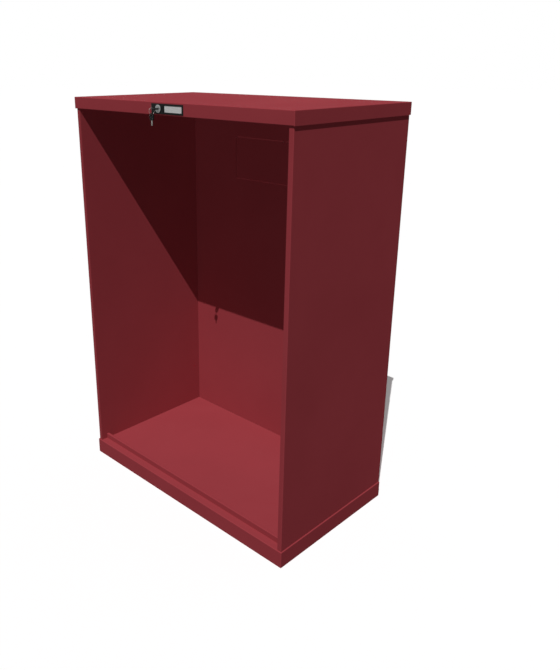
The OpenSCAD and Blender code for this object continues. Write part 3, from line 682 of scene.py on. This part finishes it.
# ---------------------------------------------------------------------------------------------
# Label: a blank card with a ruled border, and the clear pane that holds it in the bezel's pocket.
def card_stock(centre, half_width, half_height):
    """Grey card with a fine fibre, and a pale ruled border just inside its edge."""
    material, tree, shader = new_material("grey card")
    place = add(tree, "TexCoord")
    spot = add(tree, "SeparateXYZ", {0: place.outputs["Object"]})
    rules = []
    for axis, middle, half in ((0, centre.x, half_width), (2, centre.z, half_height)):
        off = add(tree, "Math", {0: spot.outputs[axis], 1: middle}, operation="SUBTRACT")
        size = add(tree, "Math", {0: off.outputs[0]}, operation="ABSOLUTE")
        rules.append(add(tree, "Math", {0: size.outputs[0], 1: half}, operation="SUBTRACT").outputs[0])
    outside = add(tree, "Math", {0: rules[0], 1: rules[1]}, operation="MAXIMUM")
    line = add(tree, "Math", {0: outside.outputs[0]}, operation="ABSOLUTE")
    border = add(tree, "MapRange", {"Value": line.outputs[0], "From Min": 0.4 * MM, "From Max": 0.25 * MM})
    fibre = place_group(tree, grain, Fine=4000.0, Broad=900.0)
    tone = add(tree, "MapRange", {"Value": fibre.outputs["Tone"], "From Min": 0.3, "From Max": 0.7})
    colour = blend_colour(tree, tone.outputs[0], (0.575, 0.575, 0.57), (0.555, 0.555, 0.55))
    colour = blend_colour(tree, border.outputs[0], colour, (0.65, 0.65, 0.65))
    tree.links.new(colour, shader.inputs["Base Color"])
    shader.inputs["Roughness"].default_value = 0.85
    shader.inputs["Specular IOR Level"].default_value = 0.2
    bump = add(tree, "Bump", {"Strength": 0.2, "Distance": 0.00003, "Height": fibre.outputs["Height"]})
    tree.links.new(bump.outputs[0], shader.inputs["Normal"])
    return material


def clear_pane():
    """Thin clear plastic that hides next to nothing, with fine scuffs in its gloss."""
    material, tree, shader = new_material("clear window")
    skin = place_group(tree, grain, Fine=1200.0, Broad=700.0)
    rough = add(tree, "MapRange", {"Value": skin.outputs["Tone"], "From Min": 0.3, "From Max": 0.7,
                                   "To Min": 0.32, "To Max": 0.4})
    tree.links.new(rough.outputs[0], shader.inputs["Roughness"])
    veil = add(tree, "MapRange", {"Value": skin.outputs["Tone"], "From Min": 0.3, "From Max": 0.7,
                                  "To Min": 0.05, "To Max": 0.07})
    tree.links.new(veil.outputs[0], shader.inputs["Alpha"])
    shader.inputs["Base Color"].default_value = (0.93, 0.94, 0.94, 1)
    shader.inputs["Specular IOR Level"].default_value = 0.12
    return material


low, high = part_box("label_card")
card = block("label_card_cut", low, high)
pick(card, "EDGE", lambda middle, edge: runs_along(edge, 1))
bpy.ops.mesh.bevel(offset=0.9 * MM, segments=3, affect="EDGES")
border_in_x, border_in_z = 3.2 * MM, 3.0 * MM
label_centre, label_size = (window_low + window_high) / 2, window_high - window_low
grey_card = card_stock(label_centre, label_size.x / 2 - border_in_x, label_size.z / 2 - border_in_z)
finish(card, grey_card, "grey_card", "cabinet", "label_card")
pane_gap = 0.1 * MM
pane = block("label_pane", window_low, (window_high.x, window_high.y - pane_gap, window_high.z))
pick(pane, "EDGE", lambda middle, edge: runs_along(edge, 1))
bpy.ops.mesh.bevel(offset=0.9 * MM, segments=3, affect="EDGES")
finish(pane, clear_pane(), "clear_window", "cabinet", "label_window")

# ---------------------------------------------------------------------------------------------
# Lock barrel: die-cast and chrome plated, with a chamfered flange in front of the bezel and a
# threaded body behind the lip, where a hexagonal nut clamps it.
chrome = plated("satin chrome", (0.36, 0.37, 0.365), (0.3, 0.31, 0.305), 0.3, 0.42, 2200.0, 0.5)
body_r, length = 8.0 * MM, barrel_high.y - barrel_low.y
recess_r, bore_r, pitch, thread_depth = 7.25 * MM, 6.05 * MM, MM, 0.4 * MM
profile = [(flange_r - 0.6 * MM, 0), (flange_r - 0.15 * MM, 0.15 * MM), (flange_r, 0.5 * MM),
           (flange_r, lip_y - lock.y), (body_r, lip_y - lock.y + 0.001 * MM)]
z = lip_y - lock.y + 2 * MM
while z < length - 1.5 * MM:
    profile += [(body_r, z), (body_r - thread_depth, z + 0.45 * pitch), (body_r, z + 0.9 * pitch)]
    z += pitch
profile += [(body_r - thread_depth, z + 0.2 * pitch), (body_r - thread_depth, length)]
barrel = turned("barrel_turned", profile, 64)
bpy.ops.mesh.primitive_cylinder_add(vertices=64, radius=recess_r, depth=3.2 * MM)
recess = bpy.context.object
bpy.ops.mesh.primitive_cylinder_add(vertices=48, radius=bore_r, depth=4 * length)
cut_away(barrel, recess, bpy.context.object)
put(barrel, lock, (-90, 0, 0))
finish(barrel, chrome, "lock_chrome", "cabinet", "lock_barrel")
keep_node("lock_nut", zinc)

# ---------------------------------------------------------------------------------------------
# Plug, cam and cam screw: they turn together in the barrel. The plug has the keyway in its face and
# a square tail that drives the cam, which swings behind the lip.
cam_low, cam_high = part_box("lock_cam")
plug_end = cam_low.y - lock.y
dull_chrome = plated("dull chrome", (0.27, 0.275, 0.27), (0.22, 0.225, 0.22), 0.34, 0.46, 2200.0, 0.4)
face_r, plug_r = 7.2 * MM, 6.0 * MM
plug = turned("plug_turned", [(face_r - 0.5 * MM, 0), (face_r, 0.35 * MM), (face_r, 1.4 * MM),
                              (plug_r, 1.401 * MM), (plug_r, plug_end)], 64)
slot_w, slot_t, slot_deep = 4.6 * MM, 1.6 * MM, 12.4 * MM
keyway = block("cutter", (-slot_w / 2, -slot_t / 2, -MM), (slot_w / 2, slot_t / 2, slot_deep))
cut_away(plug, keyway)
soften(plug, 0.12 * MM, 2, 60)
tail_half = 3.5 * MM
tail = block("tail", (-tail_half, -tail_half, plug_end - MM),
             (tail_half, tail_half, cam_high.y - lock.y))
soften(tail, 0.3 * MM)
plug = join("plug_turned", plug, tail)
put(plug, lock, (-90, 0, 0))
finish(plug, dull_chrome, "lock_chrome", "lock", "lock_plug")
keep_node("lock_cam", zinc)
keep_node("cam_screw", zinc)


# ---------------------------------------------------------------------------------------------
# Keys: a flat blade of nickel-plated steel, milled with a groove and cut along one edge, in a grip
# of black plastic with a hole for the ring. One stands in the lock and the spare hangs below it.
def key_grip(name):
    """A grip with round corners and a dished face, pointing along +X from its end at x = 0."""
    grip_l, grip_w, grip_t = 17 * MM, 14.5 * MM, 3.6 * MM
    hole_r, hole_in = 2.5 * MM, 12.6 * MM
    grip = block(name, (-grip_l, -grip_w / 2, -grip_t / 2), (0, grip_w / 2, grip_t / 2))
    pick(grip, "EDGE", lambda middle, edge: runs_along(edge, 2))
    bpy.ops.mesh.bevel(offset=5 * MM, segments=8, affect="EDGES")
    pick(grip, "EDGE", lambda middle, edge: abs(middle.z) > grip_t / 2 - 0.01 * MM)
    bpy.ops.mesh.bevel(offset=0.7 * MM, segments=3, affect="EDGES")
    for side in (-1, 1):
        pick(grip, "FACE", lambda middle, face: face.normal.z * side > 0.999)
        bpy.ops.mesh.inset(thickness=1.3 * MM, depth=0)
        bpy.ops.mesh.inset(thickness=0.5 * MM, depth=-0.35 * MM)
    only()
    bpy.ops.mesh.primitive_cylinder_add(vertices=32, radius=hole_r, depth=2 * grip_t,
                                        location=(-hole_in, 0, 0))
    cut_away(grip, bpy.context.object)
    return grip


def key_blade(name):
    """A blade with its tang at x < 0, a milled groove on each face and cuts along one edge."""
    width, thick, reach = 4.2 * MM, 1.4 * MM, 12.5 * MM
    groove_w, groove_deep, cut_r, cut_pitch = 1.1 * MM, 0.25 * MM, 0.9 * MM, 2.2 * MM
    blade = block(name, (-2 * MM, -width / 2, -thick / 2), (reach, width / 2, thick / 2))
    pick(blade, "EDGE", lambda middle, edge: runs_along(edge, 2) and middle.x > 0)
    bpy.ops.mesh.bevel(offset=1.5 * MM, segments=4, affect="EDGES")
    only()
    tools = []
    for i, depth in enumerate((0.5 * MM, 1.0 * MM, 0.6 * MM, 0.9 * MM)):
        cutter = turned("cutter", [(cut_r, -2 * MM), (cut_r, 2 * MM)], 4)
        tools.append(put(cutter, (3 * MM + i * cut_pitch, width / 2 + cut_r - depth, 0)))
    for side in (-1, 1):
        face_z = side * thick / 2
        tools.append(block("cutter", (0, -groove_w, face_z - groove_deep),
                           (reach + MM, 0, face_z + groove_deep)))
    cut_away(blade, *tools)
    soften(blade, 0.12 * MM, 2)
    return blade


nickel = plated("nickel plated steel", (0.3, 0.285, 0.265), (0.25, 0.24, 0.225),
                0.3, 0.42, 2500.0, 0.5)
grip_plastic = soft_black("black grip", (0.0072, 0.0082, 0.0082), (0.016, 0.016, 0.016),
                          0.55, 0.68, 2200.0, 0.08)
key_low, key_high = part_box("key_grip")
spare_low, spare_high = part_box("spare_key_grip")
in_lock = ((lock.x, key_high.y, lock.z), (0, 0, 90))
on_ring = ((lock.x, (spare_low.y + spare_high.y) / 2, spare_low.z), (90, 90, 0))
for prefix, body, (at, turn) in (("", "key", in_lock), ("spare_", "spare_key", on_ring)):
    grip = put(key_grip(prefix + "grip_moulded"), at, turn)
    finish(grip, grip_plastic, "black_grip", body, prefix + "key_grip")
    blade = put(key_blade(prefix + "blade_cut"), at, turn)
    finish(blade, nickel, "key_steel", body, prefix + "key_blade")

# Split ring: two turns of spring wire, side by side, that cross over once.
ring_low, ring_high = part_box("key_ring")
ring_at = (ring_low + ring_high) / 2
wire_r = 0.22 * MM
ring_r = (ring_high.y - ring_low.y) / 2 - 0.6 * MM
line = bpy.data.curves.new("split_ring", "CURVE")
line.dimensions = "3D"
line.bevel_depth = wire_r
line.bevel_resolution = 3
line.use_fill_caps = True
steps = 120
spline = line.splines.new("POLY")
spline.points.add(steps)
for i, point in enumerate(spline.points):
    turn = 2 * i / steps
    angle = 2 * math.pi * turn + 0.6
    shift = wire_r * math.tanh((turn - 1) * 9)
    out, up = ring_r * math.cos(angle), ring_r * math.sin(angle)
    point.co = (ring_at.x + shift, ring_at.y + out, ring_at.z + up, 1)
ring = bpy.data.objects.new("split_ring", line)
bpy.context.collection.objects.link(ring)
only(ring)
bpy.ops.object.convert(target="MESH")
ring = bpy.context.object
finish(ring, nickel, "key_steel", "ring", "key_ring")

# ---------------------------------------------------------------------------------------------
# Studio: a plain white floor and a white surround, one distant lamp high in front on the right, and
# five weaker ones that fill from above and from each side. Indirect light sees a dim floor.
SUN, SKY = 2.66, 0.04
FILL_TOP, FILL_FRONT, FILL_RIGHT, FILL_BACK, FILL_LEFT = 0.66, 0.33, 0.23, 1.2, 1.0

bpy.ops.mesh.primitive_plane_add(size=60, location=(0, 0, -0.2 * MM))
floor = bpy.context.object
floor.name = "floor"
floor_paint, tree, shader = new_material("floor")
path = add(tree, "LightPath")
shade = add(tree, "Mix", {"Factor": path.outputs["Is Diffuse Ray"]}, data_type="RGBA")
shade.inputs[6].default_value = (1.08, 1.08, 1.08, 1)
shade.inputs[7].default_value = (0.1, 0.1, 0.1, 1)
tree.links.new(shade.outputs[2], shader.inputs["Base Color"])
shader.inputs["Roughness"].default_value = 1.0
shader.inputs["Specular IOR Level"].default_value = 0.0
floor.data.materials.append(floor_paint)


def distant_lamp(name, heading, energy, shadows):
    """A lamp far away whose light travels along a heading."""
    lamp = bpy.data.lights.new(name, "SUN")
    lamp.energy = energy
    lamp.angle = math.radians(0.25)
    lamp.use_shadow = shadows
    holder = bpy.data.objects.new(name, lamp)
    holder.rotation_euler = Vector(heading).to_track_quat("-Z", "Y").to_euler()
    bpy.context.collection.objects.link(holder)


distant_lamp("sun", (-0.56, 1, -1.544), SUN, True)
distant_lamp("fill from above", (0, 0, -1), FILL_TOP, False)
distant_lamp("fill from the front", (0, 1, 0), FILL_FRONT, False)
distant_lamp("fill from the right", (-1, 0, 0), FILL_RIGHT, False)
distant_lamp("fill from the back", (0, -1, 0), FILL_BACK, True)
distant_lamp("fill from the left", (1, 0, 0), FILL_LEFT, True)

world = bpy.data.worlds.new("surround")
bpy.context.scene.world = world
world.use_nodes = True
tree = world.node_tree
background = tree.nodes["Background"]
path = add(tree, "LightPath")
seen = add(tree, "Math", {0: path.outputs["Is Camera Ray"], 1: path.outputs["Is Glossy Ray"]},
           operation="MAXIMUM")
seen = add(tree, "Math", {0: seen.outputs[0], 1: path.outputs["Is Transmission Ray"]},
           operation="MAXIMUM")
level = add(tree, "Mix", {0: seen.outputs[0], 2: SKY, 3: 1.0}, data_type="FLOAT")
tree.links.new(level.outputs[0], background.inputs["Strength"])
background.inputs["Color"].default_value = (1, 1, 1, 1)

# The camera stands at eye level in front and to the right, and looks a little down.
camera = bpy.data.cameras.new("camera")
camera.lens = 36.9002
camera.sensor_width = 36
camera.shift_x = 0.07778
camera.shift_y = -0.05108
camera.clip_end = 100
viewer = bpy.data.objects.new("camera", camera)
viewer.location = (1.32705, -1.34088, 1.23309)
viewer.rotation_euler = [math.radians(angle) for angle in (70.8054, 0, 45.0455)]
bpy.context.collection.objects.link(viewer)
bpy.context.scene.camera = viewer
bpy.context.scene.view_settings.view_transform = "Standard"
